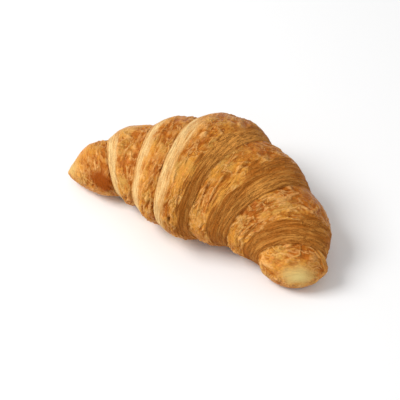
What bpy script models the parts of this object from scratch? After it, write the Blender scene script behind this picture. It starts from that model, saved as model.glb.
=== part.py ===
"""A butter croissant, baked as one piece of rolled dough.

The dough is a crescent of flattened rings strung along a bowed centreline. Seven wraps show on it:
the widest one in the middle, and three on each side that each come out from under the next. Every
wrap ends at an edge that leans a little, as the rolled triangle does. The underside is cut flat,
where the dough settled on its baking tray.

Frame: +X from the narrow tip to the blunt tip, -Y the hollow side of the crescent, +Z up. The origin
is at the middle of the underside's box. Sizes are in metres.
"""

import math

import bmesh
import bpy
import numpy as np
from mathutils import Vector

# Length and bow of the centreline. The place along it runs from -1 at the narrow tip to 1 at the blunt tip.
HALF_SPAN = 0.072
BOW_ROUND = 0.0121
BOW_HOOKED = 0.0122
BOW_LOPSIDED = 0.0078

# Half-width of each wrap at its crest, from the narrow tip to the blunt tip, and the share of it
# that the wrap loses on the hollow side, where the dough is squeezed together.
WRAP_CRESTS = (0.0166, 0.0276, 0.0352, 0.0422, 0.0355, 0.0274, 0.0166)
WRAP_SQUEEZES = (0.0, 0.18, 0.04, 0.10, 0.08, 0.11, 0.05)
MIDDLE_WRAP = 3

# The edges between the wraps: place along the centreline, and how steeply the edge is swept towards
# the blunt tip at the back of the crescent and at its top.
WRAP_EDGES = (
    (-0.68, -0.19, -0.28),
    (-0.46, -0.05, -0.07),
    (-0.18, -0.01, -0.09),
    (0.21, 0.14, -0.09),
    (0.54, 0.13, 0.02),
    (0.85, 0.22, 0.03),
)
NARROW_TIP_SWEEP = (-0.04, -0.10)
BLUNT_TIP_SWEEP = (0.07, 0.10)

# The section is lower than it is wide, and its middle stands less than its half-height above the tray.
# Between the wraps the underside still settles a little below the tray's surface, where it is cut flat,
# but no section hangs below its middle by more than the slump, a share of its half-width.
HEIGHT_TO_WIDTH = 0.67
TIP_HEIGHT_TO_WIDTH = 0.70
SUNK_SHARE = 0.86
SETTLED_BELOW = 0.0008
SLUMP = 0.77

# A wrap's face climbs from its neighbour's edge over this share of the wrap, and its skin then
# levels out. The middle wrap has a face on both sides.
FACE_SHARE = 0.78
MIDDLE_FACE_SHARE = 0.40
FACE_POWER = 0.95
CREASE_DEPTH = 0.0005

# The two end wraps: where the crest lies from the tip, how blunt the nose is (0.5 is round, 1 is
# pointed), and how high the nose is held, as a share of the crest's half-width.
NARROW_TIP = {"crest": 0.76, "bluntness": 0.76, "lift": 0.62}
BLUNT_TIP = {"crest": 0.67, "bluntness": 0.56, "lift": 0.72}

# Mesh: points around a ring, rings along the crescent, and how much closer the rings are at the tips.
POINTS_AROUND = 44
RINGS = 100
TIP_CROWDING = 0.7

# Faces that meet at more than this angle stay sharp, and the cut leaves no sliver thinner than this.
SHARP_ANGLE = math.radians(60)
CUT_TOLERANCE = 1e-6

CRUST_COLOUR = (0.50, 0.20, 0.045, 1.0)
CRUST_ROUGHNESS = 0.45


def clear_scene():
    for old in list(bpy.data.objects):
        bpy.data.objects.remove(old, do_unlink=True)


def eased(place, places, values):
    """The value at a place, easing level into each value of the table."""
    after = int(np.clip(np.searchsorted(places, place), 1, len(places) - 1))
    share = (place - places[after - 1]) / (places[after] - places[after - 1])
    share = min(max(share, 0.0), 1.0)
    blend = share * share * (3 - 2 * share)
    return values[after - 1] + (values[after] - values[after - 1]) * blend


def edge_places():
    return [-1.0] + [edge[0] for edge in WRAP_EDGES] + [1.0]


def wrap_widths(turn):
    """Each wrap's half-width at its crest, for a direction round the section."""
    hollow_share = (1 - math.cos(turn)) / 2
    return [crest * (1 - squeeze * hollow_share) for crest, squeeze in zip(WRAP_CRESTS, WRAP_SQUEEZES)]


def climb(share):
    """A wrap's face: steep where it leaves the edge below, level at its crest."""
    return math.sin(math.pi / 2 * min(max(share, 0.0), 1.0)) ** FACE_POWER


def level_out(share):
    """A wrap's skin: down over the edge of the wrap that covers it, level at its crest."""
    return 1 - (1 - min(max(share, 0.0), 1.0)) ** 3


def skin_width(share, crest_width):
    """Half-width of a wrap's skin, from the covering wrap's edge at share 0 to the crest at share 1."""
    return crest_width - CREASE_DEPTH * (1 - level_out(share))


def end_wrap_width(share, crest_width, tip):
    """Half-width of an end wrap, at a share of its length from its tip."""
    if share < tip["crest"]:
        return crest_width * math.sin(math.pi / 2 * share / tip["crest"]) ** tip["bluntness"]
    return skin_width((1 - share) / (1 - tip["crest"]), crest_width)


def face_width(share, crest_width, outer_width):
    """Half-width of a wrap's face, from the neighbour's edge at share 0 to the crest at share 1."""
    foot = outer_width - CREASE_DEPTH
    return foot + (crest_width - foot) * climb(share)


def side_wrap_width(share, crest_width, outer_width):
    """Half-width of a side wrap, at a share of its length from its outer edge."""
    if share < FACE_SHARE:
        return face_width(share / FACE_SHARE, crest_width, outer_width)
    return skin_width((1 - share) / (1 - FACE_SHARE), crest_width)


def half_width(place, turn):
    """Half-width of the crescent at a place along its centreline, in one direction round the section."""
    edges = edge_places()
    widths = wrap_widths(turn)
    last = len(widths) - 1
    wrap = min(max(int(np.searchsorted(edges, place)) - 1, 0), last)
    share = min(max((place - edges[wrap]) / (edges[wrap + 1] - edges[wrap]), 0.0), 1.0)
    if wrap == 0:
        return end_wrap_width(share, widths[wrap], NARROW_TIP)
    if wrap == last:
        return end_wrap_width(1 - share, widths[wrap], BLUNT_TIP)
    if wrap == MIDDLE_WRAP:
        neighbour = widths[wrap - 1] if share < 0.5 else widths[wrap + 1]
        return face_width(min(share, 1 - share) / MIDDLE_FACE_SHARE, widths[wrap], neighbour)
    if wrap < MIDDLE_WRAP:
        return side_wrap_width(share, widths[wrap], widths[wrap - 1])
    return side_wrap_width(1 - share, widths[wrap], widths[wrap + 1])


def section_ratio(place):
    """Height over width of the section."""
    return HEIGHT_TO_WIDTH + (TIP_HEIGHT_TO_WIDTH - HEIGHT_TO_WIDTH) * place**2


def section_middle(place):
    """Height of a section's middle above the tray."""
    edges = edge_places()
    middles = [(low + high) / 2 for low, high in zip(edges, edges[1:])]
    widths = wrap_widths(math.pi / 2)
    heights = [widths[0] * NARROW_TIP["lift"], *widths, widths[-1] * BLUNT_TIP["lift"]]
    return eased(place, [-1.0, *middles, 1.0], heights) * section_ratio(place) * SUNK_SHARE


def sweep(place, turn):
    """How far the ring leans along the centreline, for each metre of its half-width."""
    swept = [NARROW_TIP_SWEEP, *(edge[1:] for edge in WRAP_EDGES), BLUNT_TIP_SWEEP]
    back = eased(place, edge_places(), [pair[0] for pair in swept])
    top = eased(place, edge_places(), [pair[1] for pair in swept])
    return back * math.cos(turn) + top * math.sin(turn)


def centreline(place):
    """The point of the bowed centreline in plan."""
    bow = BOW_ROUND * place**2 + BOW_HOOKED * place**4 - BOW_LOPSIDED * (place - place**3)
    return Vector((HALF_SPAN * place, -bow, 0))


def towards_back(place):
    """The unit vector across the centreline, towards the crescent's outer side."""
    slope = 2 * BOW_ROUND * place + 4 * BOW_HOOKED * place**3 - BOW_LOPSIDED * (1 - 3 * place**2)
    return Vector((slope, HALF_SPAN, 0)).normalized()


def surface_point(place, turn):
    """A point of the crust. The turn is 0 at the back, 90 degrees at the top, and negative underneath."""
    width = half_width(place, turn)
    swept = place + width * sweep(place, turn) / HALF_SPAN
    middle = section_middle(place)
    half_height = width * section_ratio(place)
    if turn < 0:
        half_height = max(half_height, min(middle + SETTLED_BELOW, width * SLUMP))
    point = centreline(swept) + towards_back(swept) * width * math.cos(turn)
    point.z = middle + half_height * math.sin(turn)
    return point


def shape_crescent(bm):
    """Strings the rings of a unit sphere, whose poles are the tips, along the crescent."""
    for vert in bm.verts:
        across = math.hypot(vert.co.x, vert.co.y)
        from_pole = math.atan2(across, -vert.co.z) / math.pi
        even = 2 * from_pole - 1
        place = (1 - TIP_CROWDING) * even + TIP_CROWDING * math.sin(math.pi / 2 * even)
        vert.co = surface_point(place, math.atan2(vert.co.y, vert.co.x))


def cut_underside(bm):
    """Cuts the crescent flat at the tray and closes it with one flat face."""
    everything = bm.verts[:] + bm.edges[:] + bm.faces[:]
    bmesh.ops.bisect_plane(
        bm, geom=everything, dist=CUT_TOLERANCE, plane_co=(0, 0, 0), plane_no=(0, 0, -1), clear_outer=True
    )
    rim = [edge for edge in bm.edges if edge.is_boundary]
    bmesh.ops.contextual_create(bm, geom=rim)


def centre_on_box(bm):
    """Moves the crescent so that the middle of its box, in plan, is at the origin."""
    low = [min(vert.co[axis] for vert in bm.verts) for axis in range(2)]
    high = [max(vert.co[axis] for vert in bm.verts) for axis in range(2)]
    shift = Vector((-(low[0] + high[0]) / 2, -(low[1] + high[1]) / 2, 0))
    bmesh.ops.translate(bm, verts=bm.verts[:], vec=shift)


def croissant_mesh():
    bm = bmesh.new()
    bmesh.ops.create_uvsphere(bm, u_segments=POINTS_AROUND, v_segments=RINGS, radius=1)
    shape_crescent(bm)
    cut_underside(bm)
    centre_on_box(bm)
    bmesh.ops.recalc_face_normals(bm, faces=bm.faces[:])
    bmesh.ops.triangulate(bm, faces=bm.faces[:])
    mesh = bpy.data.meshes.new("croissant")
    bm.to_mesh(mesh)
    bm.free()
    mesh.shade_smooth()
    mesh.set_sharp_from_angle(angle=SHARP_ANGLE)
    return mesh


def crust_material():
    material = bpy.data.materials.new("crust")
    material.use_nodes = True
    shader = material.node_tree.nodes["Principled BSDF"]
    shader.inputs["Base Color"].default_value = CRUST_COLOUR
    shader.inputs["Roughness"].default_value = CRUST_ROUGHNESS
    shader.inputs["Metallic"].default_value = 0.0
    return material


def main():
    clear_scene()
    collection = bpy.data.collections.new("croissant_parts")
    bpy.context.scene.collection.children.link(collection)
    croissant = bpy.data.objects.new("croissant", croissant_mesh())
    croissant.data.materials.append(crust_material())
    collection.objects.link(croissant)


if __name__ == "__main__":
    main()
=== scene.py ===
"""The looks of a baked croissant: its layered, blistered crust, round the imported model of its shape."""

import math
from types import SimpleNamespace

import bmesh
import bpy
import numpy as np
from bpy.props import FloatProperty, FloatVectorProperty, IntProperty, PointerProperty
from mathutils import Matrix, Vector, noise


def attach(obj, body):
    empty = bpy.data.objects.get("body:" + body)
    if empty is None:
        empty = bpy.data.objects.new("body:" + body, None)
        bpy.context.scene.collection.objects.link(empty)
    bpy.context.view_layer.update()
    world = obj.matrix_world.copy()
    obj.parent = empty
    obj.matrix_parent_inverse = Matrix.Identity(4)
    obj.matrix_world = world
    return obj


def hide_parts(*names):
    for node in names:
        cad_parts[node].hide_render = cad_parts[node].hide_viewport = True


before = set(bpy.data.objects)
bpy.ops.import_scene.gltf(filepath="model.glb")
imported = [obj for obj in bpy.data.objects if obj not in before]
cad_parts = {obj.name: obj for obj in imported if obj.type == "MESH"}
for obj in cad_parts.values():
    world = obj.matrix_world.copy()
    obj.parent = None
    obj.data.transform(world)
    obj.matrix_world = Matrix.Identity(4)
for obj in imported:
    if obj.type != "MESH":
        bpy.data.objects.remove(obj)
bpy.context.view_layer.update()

bl_info = {
    "name": "Croissant",
    "version": (1, 0, 0),
    "blender": (4, 5, 0),
    "location": "3D View > Sidebar > Croissant",
    "description": "Shapes and colours one butter croissant, and lights it",
    "category": "Object",
}

CAD_NODE = "croissant"

# The wraps are numbered from the narrow tip. A turn is 0 at the back and a quarter at the top.
MIDDLE_WRAP = 3
LAST_WRAP = 6
UNDERNEATH = -math.pi / 2
FULL_TURN = 2 * math.pi
NEARLY_NONE = 0.0001

# Mesh: the steps along the centreline at which distances are added up, the extra run over the crust
# that draws rings to each wrap's edge, and how far from the edge it does so.
FINE_PLACES = np.linspace(-1.0, 1.0, 4001)
EDGE_CROWDING = 0.0016
EDGE_CROWDING_REACH = 0.0012

# Patterns of the relief: the size of their features in metres, the same every way or along the roll,
# across it and up, and an offset that sets each pattern apart from the others.
LARGE_LUMPS = (0.024, 11.0)
SMALL_LUMPS = (0.011, 17.0)
EDGE_WANDER = (0.018, 7.3)
TORN_TEETH = ((0.0025, 0.012, 0.012), 3.1)
TORN_WANDER = (0.020, 5.7)
LARGE_FOLDS = ((0.0040, 0.0150, 0.0150), 31.0)
SMALL_FOLDS = ((0.0021, 0.0060, 0.0060), 37.0)
LARGE_BLISTERS = ((0.0034, 0.0046, 0.0046), 41.0)
SMALL_BLISTERS = ((0.0017, 0.0026, 0.0026), 43.0)
FLAKES = ((0.0070, 0.0120, 0.0120), 57.0)
CALM_PATCHES = ((0.009, 0.014, 0.014), 47.0)
LONG_STREAKS = ((0.0008, 0.0065, 0.0065), 23.0)
SHORT_STREAKS = ((0.0004, 0.0030, 0.0030), 27.0)
LAYER_WANDER = ((0.006, 0.022, 0.022), 29.0)
CREASE_CHANGE = (0.014, 53.0)
FOLD_WANDER = (0.0035, 91.0)
MARK_OUTLINE = (0.004, 61.0)
SPOT_OUTLINE = (0.004, 67.0)
BROWNING = ((0.011, 0.015, 0.015), 83.0)
FINE_BROWNING = (0.005, 89.0)
OCHRE_PATCHES = ((0.008, 0.012, 0.012), 97.0)

# The skin's patterns are bent by slow noise of one size, with one offset for each direction.
BEND_SIZE = 0.014
BEND_OFFSETS = (71.0, 73.0, 79.0)
BEND_REACH = (0.0060, 0.0050, 0.0050)

# On the blunt tip's side and on the narrow tip's side: how ragged and how soft the skin's torn edge
# is, as a share of a wrap, and how strong the layers' steps and the creases are.
TORN_REACH = (0.30, 0.08)
TORN_SOFTNESS = (0.09, 0.17)
LAYER_STRENGTH = (1.0, 0.45)
CREASE_STRENGTH = (0.25, 1.0)

# How far the skin's torn edge wanders, as a share of a wrap, and how far the wraps' edges and the long
# folds wander, in metres.
TORN_WANDER_REACH = 0.12
EDGE_WANDER_REACH = 0.0006
FOLD_WANDER_REACH = 0.0006

# A fold's strip is this much wider than its crest. Flakes lie on this many levels and rise over this
# share of a step, and a blister's top is flat above this share of the noise.
STRIP_WIDENING = 2.6
FLAKE_LEVELS = 6
FLAKE_RISE = 0.3
BLISTER_TOP = 1 / 2.2

# The crease reaches up the covering wrap by this share of its reach on the covered skin. The wrap's
# edge bulges out over its neighbour a little way in, and is drawn back right at the edge.
FOOT_SHARE = 0.25
BULGE_PLACE = 0.0009
BULGE_REACH = 0.0007
DRAWN_BACK_REACH = 0.0004

# Reach of the painted crease shade on the covered side and on the covering side, of the tip's calm nose and
# of the torn edge's lip, and the heights between which the crust turns into the dry underside.
CREASE_COVERED = 0.0005
CREASE_COVERING = 0.0003
TIP_CALM = 0.020
LIP_REACH = 0.08
UNDERSIDE_FROM = 0.0015
UNDERSIDE_TO = -0.0005

# Patterns of the colour: the size of their features in metres along the roll, across it and up, then
# the noise's detail, roughness and distortion.
LAYER_BANDS = ((0.0016, 0.012, 0.012), 4.0)
STREAKS = ((0.00050, 0.0080, 0.0080), 4.0, 0.65)
LEDGES = ((0.0022, 0.022, 0.022), 3.0, 0.6, 0.4)
GRAIN = ((0.0007, 0.0009, 0.0009), 2.0)
WRINKLES = ((0.0012, 0.0026, 0.0026), 3.0, 0.6, 0.5)
RED_FLECKS = ((0.0030, 0.0042, 0.0042), 3.0, 0.6)
CRUMPLES = ((0.0034, 0.0085, 0.0085), 2.5, 0.55, 0.7)
BUSY_PATCHES = ((0.008, 0.012, 0.012), 2.0)

# Lines along a level of a pattern: the level, and how far from it the line fades out. Crinkle lines are a
# painted highlight and crack lines a painted shade in the skin's colour, and both are bumps as well.
CRINKLE_LINES = (0.46, 0.06)
CRACK_LINES = (0.54, 0.05)
LEDGE_LINES = (0.5, 0.05)

# The finish: layered faces are matt, the egg-washed skin is satin.
FACE_ROUGHNESS = 0.60
SKIN_ROUGHNESS = 0.34
SPECULAR_LEVEL = 0.08
BUMP_DISTANCE = 0.0008
BUMP_STRENGTH = 0.7

# The stage: places and widths of the lights in metres, the camera's sensor in millimetres, the
# colour of the sky, and the floor's segments, its gap under the tray's height and its finish.
KEY_PLACE = (-0.75, -0.55, 1.00)
KEY_WIDTH = 0.7
FILL_PLACE = (0.90, -0.60, 0.90)
FILL_WIDTH = 1.0
SENSOR_WIDTH = 36.0
WHITE = (1.0, 1.0, 1.0, 1.0)
FLOOR_SEGMENTS = 64
FLOOR_GAP = 0.0003
FLOOR_ROUGHNESS = 0.9

# Long folds of the skin: place and turn of one end and of the other, half-width in metres, strength.
FOLDS = (
    (-0.88, 98, -0.84, 126, 0.0007, 0.7),
    (-0.80, 92, -0.75, 112, 0.0007, 0.8),
    (-0.73, 90, -0.71, 122, 0.0007, 0.8),
    (-0.84, 138, -0.80, 166, 0.0006, 0.6),
    (-0.51, 80, -0.57, 118, 0.0007, 0.9),
    (-0.54, 117, -0.49, 148, 0.0007, 1.0),
    (-0.50, 119, -0.53, 138, 0.0006, 0.8),
    (-0.19, 125, -0.31, 148, 0.0008, 1.0),
    (-0.21, 131, -0.29, 154, 0.0006, 0.9),
    (-0.22, 148, -0.20, 168, 0.0006, 0.8),
    (-0.33, 78, -0.27, 96, 0.0007, 0.7),
    (-0.11, 150, 0.01, 141, 0.0007, 1.0),
    (-0.01, 74, 0.09, 81, 0.0007, 0.8),
    (0.00, 104, 0.04, 121, 0.0007, 0.7),
    (0.08, 137, 0.10, 156, 0.0006, 0.7),
    (0.26, 75, 0.26, 96, 0.0007, 0.8),
    (0.32, 81, 0.35, 106, 0.0006, 0.8),
    (0.29, 102, 0.33, 148, 0.0007, 1.0),
    (0.24, 119, 0.27, 156, 0.0007, 0.9),
    (0.34, 119, 0.35, 144, 0.0006, 0.7),
    (0.55, 106, 0.62, 100, 0.0008, 1.0),
    (0.62, 100, 0.70, 104, 0.0010, 0.6),
    (0.57, 117, 0.70, 125, 0.0007, 0.9),
    (0.56, 126, 0.64, 136, 0.0007, 0.8),
    (0.60, 70, 0.66, 52, 0.0007, 0.6),
    (0.86, 76, 0.91, 81, 0.0007, 0.9),
    (0.91, 81, 0.95, 119, 0.0007, 0.9),
    (0.87, 106, 0.91, 140, 0.0007, 0.8),
)

# The underbaked spot on the blunt tip: place along the roll, turn in degrees, reach in metres.
PALE_SPOT = (0.984, 84, 0.0061)

# Marks on the crust, by kind: painted shade where the next wrap shades the narrow tip (dark), browned,
# golden, peach-coloured skin with a painted highlight, underbaked skin, paler stretched layers, skin
# without wrinkles, and a hole with painted shade in it. Each has its place along the roll, turn in degrees,
# reach along it in metres, reach round it in degrees, and strength.
MARKS = {
    # Painted shade: the dark marks darken the narrow tip's front beside the next wrap, which shades it.
    "dark": [
        (-0.77, 148, 0.0050, 16, 1.5),
        (-0.73, 168, 0.0040, 16, 1.3),
    ],
    "brown": [
        (-0.82, 112, 0.0045, 22, 0.5),
        (-0.78, 150, 0.0065, 26, 0.9),
        (-0.49, 72, 0.0030, 22, 0.8),
        (-0.28, 65, 0.0050, 14, 0.5),
        (-0.27, 116, 0.0040, 10, 0.5),
        (-0.02, 160, 0.0040, 10, 0.4),
        (0.02, 92, 0.0045, 9, 0.6),
        (0.06, 50, 0.0060, 20, 0.5),
        (0.27, 52, 0.0080, 24, 0.7),
        (0.61, 52, 0.0080, 30, 1.0),
        (0.72, 130, 0.0030, 22, 0.4),
        (0.89, 62, 0.0030, 16, 0.8),
    ],
    "gold": [
        (-0.93, 100, 0.0060, 60, 0.6),
        (-0.52, 165, 0.0050, 18, 0.6),
        (-0.04, 88, 0.0040, 12, 0.6),
        (0.03, 122, 0.0045, 10, 0.7),
        (0.055, 124, 0.0040, 16, 1.0),
        (0.365, 132, 0.0020, 28, 0.6),
        (0.64, 172, 0.0060, 18, 0.5),
    ],
    # Peach marks add to the raised share, and so to the peach colour that is partly thin wash and partly a
    # painted highlight.
    "peach": [
        (-0.80, 110, 0.0060, 30, 0.7),
        (-0.50, 125, 0.0030, 24, 0.6),
        (-0.25, 120, 0.0040, 24, 0.6),
        (0.0, 120, 0.0045, 18, 0.5),
        (0.26, 135, 0.0040, 30, 0.6),
        (0.62, 112, 0.0060, 24, 0.7),
    ],
    "pale": [(-0.97, 90, 0.0030, 60, 0.45)],
    "stretched": [
        (0.16, 75, 0.0060, 34, 1.2),
        (0.49, 95, 0.0040, 25, 0.5),
    ],
    "smooth": [
        (-0.84, 62, 0.0080, 30, 0.9),
        (-0.77, 150, 0.0035, 14, 0.9),
        (0.055, 124, 0.0035, 14, 1.0),
        (0.365, 132, 0.0020, 28, 0.9),
        (0.64, 172, 0.0060, 18, 0.7),
        (1.0, 90, 0.0040, 60, 1.5),
    ],
    # The hole is sunk into the crust and painted with the creases' painted shade.
    "hole": [(0.04, 173, 0.0012, 3.0, 1.0)],
}


# ---------------------------------------------------------------------------------------------
# Sizes, colours and light
# ---------------------------------------------------------------------------------------------


def number_property(name, description, default):
    return FloatProperty(name=name, description=description, default=default)


def length_property(name, description, default):
    return FloatProperty(name=name, description=description, default=default, unit="LENGTH")


def table_property(name, description, default, unit="NONE"):
    """A property that holds several numbers, such as one for each wrap or a place's three."""
    return FloatVectorProperty(
        name=name, description=description, default=default, size=len(default), unit=unit
    )


def colour_property(name, description, default):
    return FloatVectorProperty(
        name=name, description=description, default=default, subtype="COLOR", size=3, min=0.0, max=1.0
    )


class DoughSizes(bpy.types.PropertyGroup):
    """The crescent and its wraps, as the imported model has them."""

    half_span: length_property("Half span", "Half the length of the centreline in plan", 0.072)
    bow_round: length_property("Round bow", "How far both ends are bent forward, evenly", 0.0121)
    bow_hooked: length_property("Hooked bow", "How far the last of each end is bent on top", 0.0122)
    bow_lopsided: length_property("Lopsided bow", "How much more one end is bent", 0.0078)
    wrap_crests: table_property(
        "Wrap crests",
        "Half-width of each wrap, from the narrow tip to the blunt tip",
        (0.0166, 0.0276, 0.0352, 0.0422, 0.0355, 0.0274, 0.0166),
        unit="LENGTH",
    )
    wrap_squeezes: table_property(
        "Wrap squeezes",
        "Share of its half-width that each wrap loses on the hollow side",
        (0.0, 0.18, 0.04, 0.10, 0.08, 0.11, 0.05),
    )
    edge_places: table_property(
        "Edge places",
        "Where the edges between the wraps lie, from -1 at the narrow tip to 1 at the blunt tip",
        (-0.68, -0.46, -0.18, 0.21, 0.54, 0.85),
    )
    back_sweeps: table_property(
        "Back sweeps",
        "How steeply the rings run towards the blunt tip at the back: tip, six edges, tip",
        (-0.04, -0.19, -0.05, -0.01, 0.14, 0.13, 0.22, 0.07),
    )
    top_sweeps: table_property(
        "Top sweeps",
        "How steeply the rings run towards the blunt tip at the top: tip, six edges, tip",
        (-0.10, -0.28, -0.07, -0.09, -0.09, 0.02, 0.03, 0.10),
    )
    section_ratio: number_property("Section ratio", "Height over width in the middle", 0.67)
    tip_ratio: number_property("Tip ratio", "Height over width at the tips", 0.70)
    sunk_share: number_property("Sunk share", "Height of a section's middle over its half-height", 0.86)
    settled_below: length_property(
        "Settled below", "How far below the tray the underside would reach between the wraps", 0.0008
    )
    slump: number_property(
        "Slump", "Most that a section hangs below its middle, over its half-width", 0.77
    )
    face_share: number_property("Face share", "Share of a side wrap over which it climbs", 0.78)
    middle_face_share: number_property(
        "Middle face share", "Share of the middle wrap over which each side climbs", 0.40
    )
    face_power: number_property("Face power", "How steeply a wrap leaves its edge", 0.95)
    narrow_crest: number_property(
        "Narrow crest", "Where the narrow end wrap is widest, from its tip", 0.76
    )
    narrow_bluntness: number_property("Narrow bluntness", "0.5 is a round nose, 1 is a point", 0.76)
    narrow_lift: number_property(
        "Narrow lift", "Height of the narrow nose over its wrap's half-width", 0.62
    )
    blunt_crest: number_property(
        "Blunt crest", "Where the blunt end wrap is widest, from its tip", 0.67
    )
    blunt_bluntness: number_property("Blunt bluntness", "0.5 is a round nose, 1 is a point", 0.56)
    blunt_lift: number_property(
        "Blunt lift", "Height of the blunt nose over its wrap's half-width", 0.72
    )
    rings: IntProperty(name="Rings", description="Rings of points from tip to tip", default=470)
    points_around: IntProperty(name="Points around", description="Points in each ring", default=208)


class CrustDetail(bpy.types.PropertyGroup):
    """The relief of the crust."""

    crease_depth: length_property(
        "Crease depth", "How deep a wrap's skin dips under the next wrap", 0.0008
    )
    crease_reach: length_property(
        "Crease reach", "How far from the edge the skin starts to dip", 0.0011
    )
    overhang: length_property("Overhang", "How far a wrap's edge hangs over its neighbour", 0.0004)
    lump_height: length_property("Lump height", "Height of the slow unevenness of the roll", 0.0005)
    face_spans: table_property(
        "Face spans",
        "Share of each wrap, from its outer edge, that is layered face; the middle wrap has two",
        (0.0, 0.38, 0.38, 0.68, 0.50, 0.45, 0.37, 0.0),
    )
    layer_pitch: length_property("Layer pitch", "Distance between the layers on a face", 0.0019)
    layer_height: length_property("Layer height", "How far each layer stands over the next", 0.00030)
    streak_height: length_property(
        "Streak height", "Height of the fine streaks along the layers", 0.00016
    )
    fold_height: length_property("Fold height", "Height of the folds of the skin", 0.0018)
    blister_height: length_property("Blister height", "Height of the blisters of the skin", 0.0008)
    flake_height: length_property("Flake height", "Height of the skin's loose flakes", 0.0008)
    ridge_height: length_property("Ridge height", "Height of the long folds of the skin", 0.0012)
    hole_depth: length_property(
        "Hole depth", "Depth of the hole at the foot of the middle wrap", 0.0015
    )
    lip_height: length_property(
        "Lip height", "How far the skin's torn edge stands over the face", 0.00015
    )


class CrustColours(bpy.types.PropertyGroup):
    """The colours of the crust, scene-linear."""

    face_pale: colour_property("Pale face", "Stretched layers that caught little heat", (0.85, 0.585, 0.25))
    face_gold: colour_property("Golden face", "The outer layers of a baked face", (0.60, 0.255, 0.050))
    face_brown: colour_property("Brown face", "Baked layers", (0.42, 0.130, 0.014))
    # Also used for the painted shade along the ledges of the faces.
    face_line: colour_property("Layer line", "The gaps between the layers", (0.26, 0.075, 0.005))
    skin_amber: colour_property("Amber skin", "Smooth egg-washed skin", (0.70, 0.292, 0.040))
    skin_ochre: colour_property("Ochre skin", "Skin that browned little", (0.62, 0.32, 0.065))
    skin_brown: colour_property("Brown skin", "Well-baked skin", (0.43, 0.120, 0.010))
    skin_red: colour_property("Red skin", "Flecks where the wash caught the heat", (0.66, 0.20, 0.035))
    # Partly thin wash, partly a painted highlight on the folds and blisters where they catch the light.
    skin_peach_sheen: colour_property("Peach skin", "Blistered skin where the wash is thin", (0.84, 0.445, 0.145))
    # Painted shade: the colour of the dark marks and of the lines along the cracks.
    skin_shade: colour_property("Dark skin", "The darkest patches of the skin", (0.31, 0.065, 0.003))
    # Painted shade: the colour laid along the bottom of the creases and in the hole, where shade falls.
    crease_shade: colour_property("Crease", "The bottom of the creases between wraps", (0.15, 0.04, 0.004))
    tip_pale: colour_property("Pale tip", "The underbaked spot on the blunt tip", (0.78, 0.585, 0.215))
    underside: colour_property("Underside", "The dry face that lay on the tray", (0.42, 0.19, 0.05))


class StageSettings(bpy.types.PropertyGroup):
    """The camera, the floor and the light."""

    camera_place: table_property(
        "Camera place", "Where the camera stands", (0.29953, -0.45439, 0.5581), unit="LENGTH"
    )
    camera_aim: table_property(
        "Camera aim", "The point that the camera looks at", (-0.00067, -0.01119, 0.0157)
    )
    lens: number_property("Lens", "Focal length on a 36 mm sensor, in millimetres", 132.0)
    floor_colour: colour_property("Floor", "Colour of the pale floor", (0.92, 0.92, 0.92))
    floor_radius: length_property("Floor radius", "Radius of the floor", 30.0)
    sky_strength: number_property("Sky strength", "Strength of the light from all round", 0.52)
    key_power: number_property("Key power", "Power of the main light, in watts", 15.6)
    fill_power: number_property("Fill power", "Power of the second light, in watts", 2.0)


def plain_values(group):
    """A property group's values as plain numbers and arrays, which are quicker to read."""
    values = {}
    for name in group.__annotations__:
        value = getattr(group, name)
        values[name] = np.array(value) if hasattr(value, "__len__") else value
    return SimpleNamespace(**values)


# ---------------------------------------------------------------------------------------------
# The smooth shape of the crescent, for arrays of places along it and turns round it
# ---------------------------------------------------------------------------------------------


def smoothstep(low, high, value):
    share = np.clip((value - low) / (high - low), 0.0, 1.0)
    return share * share * (3 - 2 * share)


def eased(place, places, values):
    """The values at the places, easing level into each value of the table."""
    places = np.asarray(places, float)
    values = np.asarray(values, float)
    after = np.clip(np.searchsorted(places, place), 1, len(places) - 1)
    share = smoothstep(places[after - 1], places[after], place)
    return values[after - 1] + (values[after] - values[after - 1]) * share


def wrap_edges(dough):
    return np.array([-1.0, *dough.edge_places, 1.0])


def find_wraps(place, dough):
    """Each point's wrap, its share of the way in from the wrap's edge, and if it faces the blunt tip."""
    edges = wrap_edges(dough)
    wrap = np.clip(np.searchsorted(edges, place, side="right") - 1, 0, LAST_WRAP)
    share = np.clip((place - edges[wrap]) / (edges[wrap + 1] - edges[wrap]), 0.0, 1.0)
    blunt_side = (wrap > MIDDLE_WRAP) | ((wrap == MIDDLE_WRAP) & (share > 0.5))
    return wrap, np.where(blunt_side, 1 - share, share), blunt_side


def wrap_width(wrap, turn, dough):
    """The half-width of each point's wrap, in the direction of its turn."""
    hollow_share = (1 - np.cos(turn)) / 2
    return dough.wrap_crests[wrap] * (1 - dough.wrap_squeezes[wrap] * hollow_share)


def climb(share, power):
    """Steep where a wrap leaves the edge below it, level at its crest."""
    return np.sin(math.pi / 2 * np.clip(share, 0.0, 1.0)) ** power


def half_width(place, turn, dough):
    """Half-width of the crescent, with the wraps stepping up towards the middle and no creases."""
    wrap, share, blunt_side = find_wraps(place, dough)
    crest = wrap_width(wrap, turn, dough)
    outer = np.clip(np.where(blunt_side, wrap + 1, wrap - 1), 0, LAST_WRAP)
    foot = wrap_width(outer, turn, dough)
    face_share = np.where(wrap == MIDDLE_WRAP, dough.middle_face_share, dough.face_share)
    width = foot + (crest - foot) * climb(share / face_share, dough.face_power)
    narrow = crest * climb(share / dough.narrow_crest, dough.narrow_bluntness)
    blunt = crest * climb(share / dough.blunt_crest, dough.blunt_bluntness)
    return np.where(wrap == 0, narrow, np.where(wrap == LAST_WRAP, blunt, width))


def section_ratio(place, dough):
    return dough.section_ratio + (dough.tip_ratio - dough.section_ratio) * place**2


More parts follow.
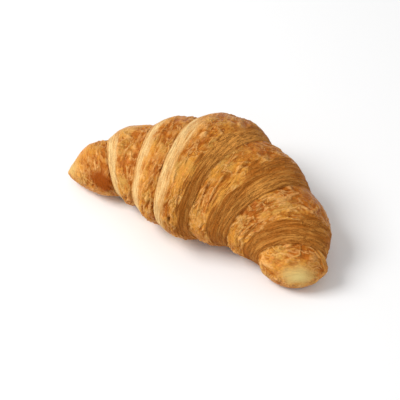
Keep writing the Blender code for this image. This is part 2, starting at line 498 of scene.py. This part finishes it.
def section_middle(place, dough):
    """Height of a section's middle above the tray."""
    edges = wrap_edges(dough)
    widths = dough.wrap_crests * (1 - dough.wrap_squeezes / 2)
    heights = [widths[0] * dough.narrow_lift, *widths, widths[-1] * dough.blunt_lift]
    places = [-1.0, *(edges[:-1] + edges[1:]) / 2, 1.0]
    return eased(place, places, heights) * section_ratio(place, dough) * dough.sunk_share


def sweep(place, turn, dough):
    """How far the ring leans along the centreline, for each metre of its half-width."""
    edges = wrap_edges(dough)
    back = eased(place, edges, dough.back_sweeps)
    top = eased(place, edges, dough.top_sweeps)
    return back * np.cos(turn) + top * np.sin(turn)


def centreline(place, dough):
    """The bowed centreline in plan: how far along it lies, and how far forward or back."""
    bow = dough.bow_round * place**2 + dough.bow_hooked * place**4
    bow = bow - dough.bow_lopsided * (place - place**3)
    return dough.half_span * place, -bow


def towards_back(place, dough):
    """The unit vector across the centreline, towards the crescent's outer side."""
    slope = 2 * dough.bow_round * place + 4 * dough.bow_hooked * place**3
    slope = slope - dough.bow_lopsided * (1 - 3 * place**2)
    length = np.hypot(slope, dough.half_span)
    return slope / length, dough.half_span / length


def surface_points(place, turn, width, slide, dough):
    """The points of the crust, from their half-widths and how far they slide along the centreline."""
    swept = place + (width * sweep(place, turn, dough) + slide) / dough.half_span
    middle = section_middle(place, dough)
    half_height = width * section_ratio(place, dough)
    settled = np.maximum(half_height, np.minimum(middle + dough.settled_below, width * dough.slump))
    half_height = np.where(np.sin(turn) < 0, settled, half_height)
    along, forward = centreline(swept, dough)
    back_x, back_y = towards_back(swept, dough)
    x = along + back_x * width * np.cos(turn)
    y = forward + back_y * width * np.cos(turn)
    z = middle + half_height * np.sin(turn)
    return np.column_stack((x, y, z))


# ---------------------------------------------------------------------------------------------
# The relief of the crust
# ---------------------------------------------------------------------------------------------


def noise_at(points, size, offset):
    """Smooth noise from -1 to 1 at each point, with features of one size or of three."""
    scaled = points / np.asarray(size) + offset
    return np.array([noise.noise(point) for point in scaled])


def folds_at(points, size, offset):
    """Narrow raised folds, from 0 between them to 1 on them."""
    return (1 - np.abs(noise_at(points, size, offset))) ** 4


def blisters_at(points, size, offset):
    """Round blisters with narrow valleys between them, from 0 to about 1."""
    return np.clip(np.abs(noise_at(points, size, offset)) / BLISTER_TOP, 0.0, 1.0)


def flakes_at(points, size, offset):
    """Flat flakes with short steps between them, from about -1 to 1."""
    level = noise_at(points, size, offset) * FLAKE_LEVELS
    share = level - np.floor(level)
    return (np.floor(level) + smoothstep(0.0, FLAKE_RISE, share)) / FLAKE_LEVELS


def distance_along(place, dough):
    """The distance over the crust from the narrow tip to each place, up and down the steps of the wraps."""
    width = half_width(FINE_PLACES, np.full_like(FINE_PLACES, math.pi / 4), dough)
    steps = np.hypot(np.diff(FINE_PLACES) * dough.half_span, np.diff(width))
    return np.interp(place, FINE_PLACES, np.concatenate(([0.0], np.cumsum(steps))))


def ring_places(dough):
    """The places of the rings, evenly apart over the crust and closer at the edges of the wraps."""
    run = distance_along(FINE_PLACES, dough)
    for edge in dough.edge_places:
        from_edge = (FINE_PLACES - edge) * dough.half_span
        run = run + EDGE_CROWDING * np.tanh(from_edge / EDGE_CROWDING_REACH)
    run = (run - run[0]) / (run[-1] - run[0])
    return np.interp(np.linspace(0.0, 1.0, dough.rings + 1), run, FINE_PLACES)


def straightened(place, turn, dough):
    """Coordinates of the roll as if straight, in which patterns follow the wraps: along, across and up."""
    width = half_width(place, turn, dough)
    return np.column_stack((distance_along(place, dough), width * np.cos(turn), width * np.sin(turn)))


def survey_roll(place, turn, dough, detail):
    """Where each point is on the roll: its wrap, how far in from the wrap's edge, and what covers it."""
    roll = SimpleNamespace(place=place, turn=turn)
    roll.coords = straightened(place, turn, dough)
    wandering = place + noise_at(roll.coords, *EDGE_WANDER) * EDGE_WANDER_REACH / dough.half_span
    roll.wrap, share, roll.blunt_side = find_wraps(wandering, dough)
    roll.end_wrap = (roll.wrap == 0) | (roll.wrap == LAST_WRAP)
    roll.inward = np.where(roll.wrap == MIDDLE_WRAP, share * 2, share)
    nearest = np.abs(wandering[:, None] - dough.edge_places[None, :]).argmin(axis=1)
    edge = dough.edge_places[nearest]
    gap = (wandering - edge) * dough.half_span
    roll.gap = np.where(edge < 0, gap, -gap)
    roll.outward = np.where(edge < 0, -1.0, 1.0)
    torn = noise_at(roll.coords, *TORN_TEETH) * np.where(roll.blunt_side, *TORN_REACH)
    torn += noise_at(roll.coords, *TORN_WANDER) * TORN_WANDER_REACH
    roll.skin_start = detail.face_spans[roll.wrap + roll.blunt_side] + torn
    softness = np.where(roll.blunt_side, *TORN_SOFTNESS)
    roll.skin = smoothstep(-softness, softness, roll.inward - roll.skin_start)
    roll.skin = np.where(roll.end_wrap, 1.0, roll.skin)
    return roll


def degrees_from(roll, turn):
    """How many degrees each point lies past a turn round the roll, the short way round."""
    return np.mod(np.degrees(roll.turn) - turn + 180, 360) - 180


def mark_at(roll, place, turn, reach_along, reach_around, dough):
    """A soft mark, 1 at its middle, that reaches metres along the roll and degrees round it."""
    along = (roll.place - place) * dough.half_span / reach_along
    around = degrees_from(roll, turn) / reach_around
    return np.exp(-(along**2) - around**2)


def spot_at(roll, place, turn, reach, dough):
    """A soft round spot on a tip, where a mark would narrow to a wedge: its reach is in metres."""
    middle = straightened(np.array([place]), np.array([math.radians(turn)]), dough)
    distance = np.linalg.norm(roll.coords - middle, axis=1)
    ragged = 1 + 0.30 * noise_at(roll.coords, *SPOT_OUTLINE)
    return 0.95 * smoothstep(reach * 2.1, 0.0, distance * ragged)


def fold_at(roll, place, turn, to_place, to_turn, reach, dough):
    """A long fold between two points of the skin: its crest, and the wider strip that it stands in."""
    radius = half_width(np.array([place]), np.array([math.radians(turn)]), dough)[0]
    along = (roll.place - place) * dough.half_span
    around = np.radians(degrees_from(roll, turn)) * radius
    run = np.array([(to_place - place) * dough.half_span, math.radians(to_turn - turn) * radius])
    share = np.clip((along * run[0] + around * run[1]) / (run @ run), 0.0, 1.0)
    distance = np.hypot(along - share * run[0], around - share * run[1])
    distance = distance + noise_at(roll.coords, *FOLD_WANDER) * FOLD_WANDER_REACH
    taper = np.sin(math.pi * (0.1 + 0.8 * share)) ** 0.5
    crest = taper * np.exp(-((distance / reach) ** 2))
    strip = taper * np.exp(-((distance / reach / STRIP_WIDENING) ** 2))
    return crest, strip


def all_folds(roll, dough):
    """The crests and the strips of all the long folds."""
    crests = np.zeros(len(roll.place))
    strips = np.zeros(len(roll.place))
    for *route, reach, strength in FOLDS:
        crest, strip = fold_at(roll, *route, reach, dough)
        crests = np.maximum(crests, crest * strength)
        strips = np.maximum(strips, strip * strength)
    return crests, strips


def marks_of(kind, roll, dough):
    """All marks of one kind, added up."""
    marks = [mark_at(roll, *spot, dough) * strength for *spot, strength in MARKS[kind]]
    ragged = 1 + 0.45 * noise_at(roll.coords, *MARK_OUTLINE)
    return np.clip(sum(marks) * ragged, 0.0, 1.0)


def skin_relief(roll, smooth_marks, detail):
    """Height of the crumpled skin, and how far each point is up on a fold or a blister, from 0 to 1."""
    bend = np.column_stack([noise_at(roll.coords, BEND_SIZE, offset) for offset in BEND_OFFSETS])
    coords = roll.coords + bend * BEND_REACH
    folds = 0.65 * folds_at(coords, *LARGE_FOLDS) + 0.35 * folds_at(coords, *SMALL_FOLDS)
    blisters = 0.55 * blisters_at(coords, *LARGE_BLISTERS) + 0.45 * blisters_at(coords, *SMALL_BLISTERS)
    flakes = flakes_at(coords, *FLAKES)
    busy = smoothstep(-0.30, 0.15, noise_at(roll.coords, *CALM_PATCHES))
    high = smoothstep(-0.75, 0.05, np.sin(roll.turn))
    behind = smoothstep(0.5, 1.0, np.cos(roll.turn))
    crumpled = roll.skin * (0.35 + 0.65 * busy) * (1 - 0.85 * smooth_marks)
    crumpled = crumpled * (0.35 + 0.65 * high) * (1 - 0.5 * behind)
    folds = folds - folds.mean()
    blisters = blisters - blisters.mean()
    height = folds * detail.fold_height + blisters * detail.blister_height + flakes * detail.flake_height
    raised = 0.5 + crumpled * (1.1 * folds + 0.8 * blisters)
    return crumpled * height, np.clip(raised, 0.0, 1.0)


def face_relief(roll, detail):
    """Height of the layered faces: each layer ends a step above the next, with fine streaks along it."""
    streaks = noise_at(roll.coords, *LONG_STREAKS) + 0.6 * noise_at(roll.coords, *SHORT_STREAKS)
    layer = roll.coords[:, 0] / detail.layer_pitch + 0.8 * noise_at(roll.coords, *LAYER_WANDER)
    step = layer - np.floor(layer)
    step = np.where(roll.blunt_side, step, 1 - step)
    strength = np.where(roll.blunt_side, *LAYER_STRENGTH)
    height = (step - 0.5) * detail.layer_height + streaks * detail.streak_height
    return (1 - roll.skin) * strength * height


def edge_relief(roll, detail):
    """The dip and the slide along the roll where a wrap's skin goes under the next wrap's edge."""
    strength = 0.8 + 0.5 * noise_at(roll.coords, *CREASE_CHANGE)
    strength *= np.where(roll.outward > 0, *CREASE_STRENGTH)
    under = np.exp(-((np.maximum(-roll.gap, 0) / detail.crease_reach) ** 1.3))
    foot = np.exp(-((np.maximum(roll.gap, 0) / (detail.crease_reach * FOOT_SHARE)) ** 1.5))
    dip = np.where(roll.gap < 0, under, foot) * detail.crease_depth * strength
    bulge = np.exp(-(((roll.gap - BULGE_PLACE) / BULGE_REACH) ** 2))
    bulge -= 0.6 * np.exp(-((roll.gap / DRAWN_BACK_REACH) ** 2))
    return dip, roll.outward * bulge * detail.overhang * strength


def browning(roll, strips, dough):
    """How well the skin is baked, from 0 to 1, with painted shade added over the strips round the long
    folds.
    """
    browned_and_valley_shade = 0.42 + 0.55 * noise_at(roll.coords, *BROWNING) + 0.30 * noise_at(roll.coords, *FINE_BROWNING)
    # Painted shade: the strips round the long folds are darkened.
    browned_and_valley_shade += marks_of("brown", roll, dough) - 0.8 * marks_of("gold", roll, dough) + 0.3 * strips
    browned_and_valley_shade += np.where(roll.blunt_side, 0.0, 0.30 * smoothstep(0.5, 1.0, roll.inward))
    return np.clip(browned_and_valley_shade, 0.0, 1.0)


def crust_relief(roll, dough, detail):
    """The height of each point over the smooth roll, its slide along it, and the fields that colour it."""
    # The dark marks are painted shade; the hole is sunk and also painted with shade.
    fields = {kind: marks_of(kind, roll, dough) for kind in ("smooth", "dark", "stretched", "hole")}
    skin_height, raised = skin_relief(roll, fields["smooth"], detail)
    crests, strips = all_folds(roll, dough)
    dip, slide = edge_relief(roll, detail)
    lumps = noise_at(roll.coords, *LARGE_LUMPS) + 0.5 * noise_at(roll.coords, *SMALL_LUMPS)
    lip = np.exp(-(((roll.inward - roll.skin_start) / LIP_REACH) ** 2)) * detail.lip_height
    height = lumps * detail.lump_height + skin_height + face_relief(roll, detail)
    height += np.where(roll.end_wrap, 0.0, lip) - dip
    height += (crests - 0.5 * strips) * detail.ridge_height - fields["hole"] * detail.hole_depth
    from_tip = np.minimum(roll.coords[:, 0], roll.coords[:, 0].max() - roll.coords[:, 0])
    height *= 0.2 + 0.8 * smoothstep(0.0, TIP_CALM, from_tip)
    # The raised share picks the peach colour, partly thin wash and partly a painted highlight; the fold
    # strips hold it back and the peach marks add to it.
    raised = raised * (1 - 0.6 * strips) + 0.3 * marks_of("peach", roll, dough)
    ochre = smoothstep(-0.10, 0.45, noise_at(roll.coords, *OCHRE_PATCHES))
    crease_reach = np.where(roll.gap < 0, CREASE_COVERED, CREASE_COVERING)
    fields["skin"] = roll.skin
    # Painted shade: the crease field darkens the colour along the bottom of each crease between wraps.
    fields["crease"] = np.exp(-((roll.gap / crease_reach) ** 2))
    fields["raised"] = np.maximum(raised, crests)
    fields["browned_and_valley_shade"] = browning(roll, strips, dough)
    fields["ochre"] = ochre * (1 - fields["smooth"])
    fields["pale_spot"] = np.maximum(marks_of("pale", roll, dough), spot_at(roll, *PALE_SPOT, dough))
    fields["blunt_side"] = roll.blunt_side.astype(float)
    fields["outward"] = (roll.outward > 0).astype(float)
    fields["inward"] = roll.inward
    return height, slide, fields


# ---------------------------------------------------------------------------------------------
# The mesh
# ---------------------------------------------------------------------------------------------


def ring_numbers(bm, dough):
    """The ring of each vertex of a unit sphere, counted from its lower pole, and its turn."""
    points = np.array([vert.co for vert in bm.verts])
    across = np.hypot(points[:, 0], points[:, 1])
    from_pole = np.arctan2(across, -points[:, 2]) / math.pi
    ring = np.rint(from_pole * dough.rings).astype(int)
    return ring, np.arctan2(points[:, 1], points[:, 0])


def store_fields(bm, fields, coords):
    """Keeps the colour fields and the straightened coordinates on the vertices."""
    for name, values in fields.items():
        layer = bm.verts.layers.float.new(name)
        for vert, value in zip(bm.verts, values):
            vert[layer] = value
    layer = bm.verts.layers.float_vector.new("roll")
    for vert, point in zip(bm.verts, coords):
        vert[layer] = Vector(point)


def unwrap(bm, ring, turn, dough):
    """Lays the rings out side by side, cut open along the middle of the underside."""
    layer = bm.loops.layers.uv.new("OFBake")
    around = np.mod(turn - UNDERNEATH, FULL_TURN) / FULL_TURN
    around[around > 1 - NEARLY_NONE] = 0.0
    run = ring / dough.rings
    for face in bm.faces:
        corners = [around[vert.index] for vert in face.verts if 0 < ring[vert.index] < dough.rings]
        across_cut = max(corners) - min(corners) > 0.5
        corners = [1.0 if across_cut and corner < 0.5 else corner for corner in corners]
        for loop in face.loops:
            index = loop.vert.index
            u = 1.0 if across_cut and around[index] < 0.5 else around[index]
            if not 0 < ring[index] < dough.rings:
                u = sum(corners) / len(corners)
            loop[layer].uv = (u, run[index])


def set_points(bm, points):
    for vert, point in zip(bm.verts, points):
        vert.co = point


def crust_mesh(dough, detail):
    bm = bmesh.new()
    bmesh.ops.create_uvsphere(bm, u_segments=dough.points_around, v_segments=dough.rings, radius=1)
    bm.verts.index_update()
    ring, turn = ring_numbers(bm, dough)
    place = ring_places(dough)[ring]
    roll = survey_roll(place, turn, dough, detail)
    height, slide, fields = crust_relief(roll, dough, detail)
    width = half_width(place, turn, dough)
    plain = surface_points(place, turn, width, 0 * slide, dough)
    set_points(bm, surface_points(place, turn, width, slide, dough))
    bmesh.ops.recalc_face_normals(bm, faces=bm.faces[:])
    bm.normal_update()
    points = np.array([vert.co + vert.normal * rise for vert, rise in zip(bm.verts, height)])
    points[:, :2] -= (plain.min(axis=0) + plain.max(axis=0))[:2] / 2
    fields["underside"] = smoothstep(UNDERSIDE_FROM, UNDERSIDE_TO, points[:, 2])
    points[:, 2] = np.maximum(points[:, 2], 0.0)
    set_points(bm, points)
    store_fields(bm, fields, roll.coords)
    unwrap(bm, ring, turn, dough)
    mesh = bpy.data.meshes.new("crust")
    bm.to_mesh(mesh)
    bm.free()
    mesh.shade_smooth()
    return mesh


# ---------------------------------------------------------------------------------------------
# The crust's material
# ---------------------------------------------------------------------------------------------


class NodeSheet:
    """A node tree with short ways to add what the crust needs."""

    def __init__(self, material):
        material.use_nodes = True
        self.tree = material.node_tree
        self.shader = self.tree.nodes["Principled BSDF"]

    def add(self, kind, settings=None, inputs=None):
        node = self.tree.nodes.new(kind)
        for name, value in (settings or {}).items():
            setattr(node, name, value)
        for name, value in (inputs or {}).items():
            self.plug(node.inputs[name], value)
        return node

    def plug(self, socket, value):
        if isinstance(value, bpy.types.NodeSocket):
            self.tree.links.new(value, socket)
        else:
            socket.default_value = value

    def field(self, name):
        return self.add("ShaderNodeAttribute", {"attribute_name": name}).outputs["Fac"]

    def math(self, operation, first, second=0.0):
        node = self.add("ShaderNodeMath", {"operation": operation})
        self.plug(node.inputs[0], first)
        self.plug(node.inputs[1], second)
        return node.outputs["Value"]

    def rescale(self, value, low, high, to_low=0.0, to_high=1.0):
        """Takes a value from one range to another, easing at both ends and never past them."""
        inputs = {"Value": value, "From Min": low, "From Max": high, "To Min": to_low, "To Max": to_high}
        node = self.add("ShaderNodeMapRange", {"interpolation_type": "SMOOTHSTEP"}, inputs)
        return node.outputs["Result"]

    def blend(self, share, first, second):
        node = self.add("ShaderNodeMix", {"data_type": "RGBA"})
        self.plug(node.inputs["Factor"], share)
        colour_inputs = [socket for socket in node.inputs if socket.type == "RGBA"]
        for socket, colour in zip(colour_inputs, (first, second)):
            self.plug(socket, colour)
        return next(socket for socket in node.outputs if socket.type == "RGBA")

    def scale_colour(self, colour, factor):
        node = self.add("ShaderNodeVectorMath", {"operation": "SCALE"})
        self.plug(node.inputs[0], colour)
        self.plug(node.inputs["Scale"], factor)
        return node.outputs["Vector"]

    def pattern(self, vector, sizes, detail, roughness=0.55, distortion=0.0):
        """Noise from 0 to 1 on the straightened roll, for features of three sizes in metres."""
        scale = tuple(1 / size for size in sizes)
        mapping = self.add("ShaderNodeMapping", None, {"Vector": vector, "Scale": scale})
        inputs = {
            "Vector": mapping.outputs["Vector"],
            "Scale": 1.0,
            "Detail": detail,
            "Roughness": roughness,
            "Distortion": distortion,
        }
        return self.add("ShaderNodeTexNoise", None, inputs).outputs["Fac"]


def lines_along(sheet, pattern, level, reach):
    """Thin lines where a pattern crosses a level: 1 on the line, 0 beyond its reach."""
    off = sheet.math("ABSOLUTE", sheet.math("SUBTRACT", pattern, level))
    return sheet.rescale(off, 0.0, reach, 1.0, 0.0)


def with_alpha(colour):
    return (*colour, 1.0)


def face_colour(sheet, coords, streaks, ledges, colours):
    """Layered faces: pale on the narrow tip's side, golden to brown on the blunt tip's side."""
    bands = sheet.pattern(coords, *LAYER_BANDS)
    inward = sheet.field("inward")
    blunt = sheet.field("blunt_side")
    brown = sheet.rescale(inward, 0.0, 0.35, 0.35, 0.85)
    brown = sheet.math("ADD", brown, sheet.rescale(bands, 0.3, 0.7, -0.5, 0.5))
    brown = sheet.math("SUBTRACT", brown, sheet.field("stretched"))
    baked = sheet.blend(brown, with_alpha(colours.face_gold), with_alpha(colours.face_brown))
    # Painted shade: the narrow-side faces turn golden towards their rims, standing in for the warm bounce
    # light in the shade there.
    rim_warm_shade = sheet.rescale(inward, 0.0, 0.15, 1.0, 0.0)
    golden = sheet.math("MAXIMUM", sheet.rescale(inward, 0.05, 0.6, 0.0, 0.55), rim_warm_shade)
    across = sheet.add("ShaderNodeSeparateXYZ", None, {"Vector": coords}).outputs["Y"]
    golden = sheet.math("ADD", golden, sheet.rescale(across, 0.005, 0.030, 0.0, 0.45))
    golden = sheet.math("ADD", golden, sheet.rescale(bands, 0.3, 0.7, -0.4, 0.4))
    pale = sheet.blend(golden, with_alpha(colours.face_pale), with_alpha(colours.face_gold))
    stretched = sheet.rescale(sheet.field("stretched"), 0.0, 1.0, 1.0, 1.35)
    base = sheet.blend(blunt, pale, sheet.scale_colour(baked, stretched))
    # The ledge lines are painted shade along the ledges' steps; the streak lines darken the layers in fine
    # stripes.
    lines = sheet.math("MAXIMUM", sheet.rescale(streaks, 0.38, 0.56, 0.5, 0.0), ledges)
    lines = sheet.math("MULTIPLY", lines, sheet.rescale(blunt, 0.0, 1.0, 0.56, 0.80))
    line = sheet.blend(blunt, with_alpha(colours.face_brown), with_alpha(colours.face_line))
    return sheet.blend(lines, base, line)


def skin_colour(sheet, coords, wrinkles, crinkles, cracks, colours):
    """Egg-washed skin: amber, with brown patches, painted shade in the valleys and along the cracks, and
    peach-coloured folds that are partly thin wash and partly a painted highlight.
    """
    raised = sheet.field("raised")
    browned_and_valley_shade = sheet.math("ADD", sheet.field("browned_and_valley_shade"), sheet.rescale(wrinkles, 0.35, 0.65, -0.25, 0.25))
    # Painted shade: the lower a point lies between folds and blisters, the browner; the raised tops less
    # so.
    browned_and_valley_shade = sheet.math("ADD", browned_and_valley_shade, sheet.rescale(raised, 0.15, 0.60, 0.35, -0.25))
    base = with_alpha(colours.skin_amber)
    base = sheet.blend(sheet.field("ochre"), base, with_alpha(colours.skin_ochre))
    base = sheet.blend(browned_and_valley_shade, base, with_alpha(colours.skin_brown))
    flecks = sheet.rescale(sheet.pattern(coords, *RED_FLECKS), 0.56, 0.68, 0.0, 0.55)
    base = sheet.blend(flecks, base, with_alpha(colours.skin_red))
    # Painted highlight, partly thin wash: peach on the raised folds and blisters.
    light = sheet.rescale(raised, 0.50, 0.95, 0.0, 0.9)
    light = sheet.math("MULTIPLY", light, sheet.rescale(wrinkles, 0.35, 0.60, 0.3, 1.0))
    # Painted highlight along the crinkles.
    light = sheet.math("MAXIMUM", light, sheet.math("MULTIPLY", crinkles, 0.62))
    base = sheet.blend(light, base, with_alpha(colours.skin_peach_sheen))
    # Painted shade along the cracks.
    base = sheet.blend(sheet.math("MULTIPLY", cracks, 0.45), base, with_alpha(colours.skin_shade))
    # Painted shade: the dark marks, where the next wrap shades the narrow tip's front.
    return sheet.blend(sheet.field("dark"), base, with_alpha(colours.skin_shade))


def stained_colour(sheet, colour, colours):
    """Paints shade into the creases and the hole, and adds the underbaked spot and the dry underside."""
    # Painted shade along the creases between wraps, stronger on the narrow tip's side.
    strength = sheet.rescale(sheet.field("outward"), 0.0, 1.0, 0.6, 0.25)
    crease = sheet.math("MULTIPLY", sheet.field("crease"), strength)
    colour = sheet.blend(crease, colour, with_alpha(colours.crease_shade))
    colour = sheet.blend(sheet.field("pale_spot"), colour, with_alpha(colours.tip_pale))
    # Painted shade in the hole.
    colour = sheet.blend(sheet.field("hole"), colour, with_alpha(colours.crease_shade))
    return sheet.blend(sheet.field("underside"), colour, with_alpha(colours.underside))


def fine_bump(sheet, streaks, wrinkles, crinkles, cracks, ledges):
    """The finest relief, as a normal: streaks, wrinkles, raised crinkles, sunk cracks and ledges."""
    height = sheet.math("MULTIPLY", sheet.math("ADD", streaks, wrinkles), 0.6)
    lines = sheet.math("MULTIPLY", sheet.math("SUBTRACT", crinkles, cracks), 0.35)
    height = sheet.math("SUBTRACT", sheet.math("ADD", height, lines), sheet.math("MULTIPLY", ledges, 0.3))
    inputs = {"Height": height, "Distance": BUMP_DISTANCE, "Strength": BUMP_STRENGTH}
    return sheet.add("ShaderNodeBump", None, inputs).outputs["Normal"]


def crust_material(colours):
    material = bpy.data.materials.new("crust")
    sheet = NodeSheet(material)
    coords = sheet.add("ShaderNodeAttribute", {"attribute_name": "roll"}).outputs["Vector"]
    streaks = sheet.pattern(coords, *STREAKS)
    grain = sheet.pattern(coords, *GRAIN)
    wrinkles = sheet.pattern(coords, *WRINKLES)
    crumples = sheet.pattern(coords, *CRUMPLES)
    busy = sheet.rescale(sheet.pattern(coords, *BUSY_PATCHES), 0.35, 0.60, 0.15, 1.0)
    busy = sheet.math("MULTIPLY", busy, sheet.rescale(sheet.field("smooth"), 0.0, 1.0, 1.0, 0.1))
    # Crinkles and cracks pair a painted highlight line with a painted shade line, as crumpled relief would
    # be lit; both also go into the bump.
    crinkles = sheet.math("MULTIPLY", lines_along(sheet, crumples, *CRINKLE_LINES), busy)
    cracks = sheet.math("MULTIPLY", lines_along(sheet, crumples, *CRACK_LINES), busy)
    # Ledge lines: a bump in the relief, and painted shade in the faces' colour.
    ledges = lines_along(sheet, sheet.pattern(coords, *LEDGES), *LEDGE_LINES)
    torn = sheet.math("ADD", sheet.field("skin"), sheet.rescale(streaks, 0.3, 0.7, -0.35, 0.35))
    skin = sheet.rescale(torn, 0.30, 0.70)
    face = face_colour(sheet, coords, streaks, ledges, colours)
    washed = skin_colour(sheet, coords, wrinkles, crinkles, cracks, colours)
    colour = sheet.scale_colour(sheet.blend(skin, face, washed), sheet.rescale(grain, 0.3, 0.7, 0.88, 1.11))
    inputs = sheet.shader.inputs
    sheet.plug(inputs["Base Color"], stained_colour(sheet, colour, colours))
    sheet.plug(inputs["Roughness"], sheet.rescale(skin, 0.0, 1.0, FACE_ROUGHNESS, SKIN_ROUGHNESS))
    inputs["Specular IOR Level"].default_value = SPECULAR_LEVEL
    sheet.plug(inputs["Normal"], fine_bump(sheet, streaks, wrinkles, crinkles, cracks, ledges))
    return material


# ---------------------------------------------------------------------------------------------
# Operators
# ---------------------------------------------------------------------------------------------


class CROISSANT_OT_bake_crust(bpy.types.Operator):
    """Make the croissant's crust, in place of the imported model's plain solid"""

    bl_idname = "croissant.bake_crust"
    bl_label = "Bake Crust"

    def execute(self, context):
        scene = context.scene
        dough = plain_values(scene.croissant_dough)
        detail = plain_values(scene.croissant_detail)
        crust = bpy.data.objects.new("crust", crust_mesh(dough, detail))
        crust.data.materials.append(crust_material(scene.croissant_colours))
        scene.collection.objects.link(crust)
        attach(crust, "root")
        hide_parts(CAD_NODE)
        return {"FINISHED"}


def add_camera(scene, stage):
    camera = bpy.data.objects.new("camera", bpy.data.cameras.new("camera"))
    camera.data.lens = stage.lens
    camera.data.sensor_width = SENSOR_WIDTH
    camera.location = stage.camera_place
    look = Vector(stage.camera_aim) - Vector(stage.camera_place)
    camera.rotation_euler = look.to_track_quat("-Z", "Y").to_euler()
    scene.collection.objects.link(camera)
    scene.camera = camera


def add_floor(scene, stage):
    bm = bmesh.new()
    bmesh.ops.create_circle(bm, cap_ends=True, segments=FLOOR_SEGMENTS, radius=stage.floor_radius)
    bmesh.ops.translate(bm, verts=bm.verts[:], vec=(0, 0, -FLOOR_GAP))
    mesh = bpy.data.meshes.new("floor")
    bm.to_mesh(mesh)
    bm.free()
    material = bpy.data.materials.new("floor")
    material.use_nodes = True
    shader = material.node_tree.nodes["Principled BSDF"]
    shader.inputs["Base Color"].default_value = with_alpha(stage.floor_colour)
    shader.inputs["Roughness"].default_value = FLOOR_ROUGHNESS
    mesh.materials.append(material)
    floor = bpy.data.objects.new("floor", mesh)
    scene.collection.objects.link(floor)


def add_area_light(scene, name, place, width, power):
    """Adds a square light that points at the croissant."""
    light = bpy.data.lights.new(name, "AREA")
    light.size = width
    light.energy = power
    lamp = bpy.data.objects.new(name, light)
    lamp.location = place
    lamp.rotation_euler = (-Vector(place)).to_track_quat("-Z", "Y").to_euler()
    scene.collection.objects.link(lamp)


def light_sky(scene, stage):
    world = bpy.data.worlds.new("sky")
    world.use_nodes = True
    background = world.node_tree.nodes["Background"]
    background.inputs["Color"].default_value = WHITE
    background.inputs["Strength"].default_value = stage.sky_strength
    scene.world = world
    scene.view_settings.view_transform = "Standard"


class CROISSANT_OT_set_stage(bpy.types.Operator):
    """Make the pale floor, the soft studio light and the camera"""

    bl_idname = "croissant.set_stage"
    bl_label = "Set Stage"

    def execute(self, context):
        scene = context.scene
        stage = scene.croissant_stage
        add_camera(scene, stage)
        add_floor(scene, stage)
        add_area_light(scene, "key light", KEY_PLACE, KEY_WIDTH, stage.key_power)
        add_area_light(scene, "fill light", FILL_PLACE, FILL_WIDTH, stage.fill_power)
        light_sky(scene, stage)
        return {"FINISHED"}


class CROISSANT_PT_panel(bpy.types.Panel):
    """The croissant's sizes, colours and operators"""

    bl_idname = "CROISSANT_PT_panel"
    bl_label = "Croissant"
    bl_space_type = "VIEW_3D"
    bl_region_type = "UI"
    bl_category = "Croissant"

    def draw(self, context):
        self.layout.operator(CROISSANT_OT_bake_crust.bl_idname)
        self.layout.operator(CROISSANT_OT_set_stage.bl_idname)
        for name in GROUPS:
            group = getattr(context.scene, name)
            box = self.layout.box()
            box.label(text=name.removeprefix("croissant_").capitalize())
            for value in group.__annotations__:
                box.prop(group, value)


# The scene's properties that hold the groups of sizes and colours.
GROUPS = {
    "croissant_dough": DoughSizes,
    "croissant_detail": CrustDetail,
    "croissant_colours": CrustColours,
    "croissant_stage": StageSettings,
}
CLASSES = (*GROUPS.values(), CROISSANT_OT_bake_crust, CROISSANT_OT_set_stage, CROISSANT_PT_panel)


def register():
    for each in CLASSES:
        bpy.utils.register_class(each)
    for name, group in GROUPS.items():
        setattr(bpy.types.Scene, name, PointerProperty(type=group))


def unregister():
    for name in reversed(GROUPS):
        delattr(bpy.types.Scene, name)
    for each in reversed(CLASSES):
        bpy.utils.unregister_class(each)


def main():
    register()
    bpy.ops.croissant.bake_crust()
    bpy.ops.croissant.set_stage()


if __name__ == "__main__":
    main()
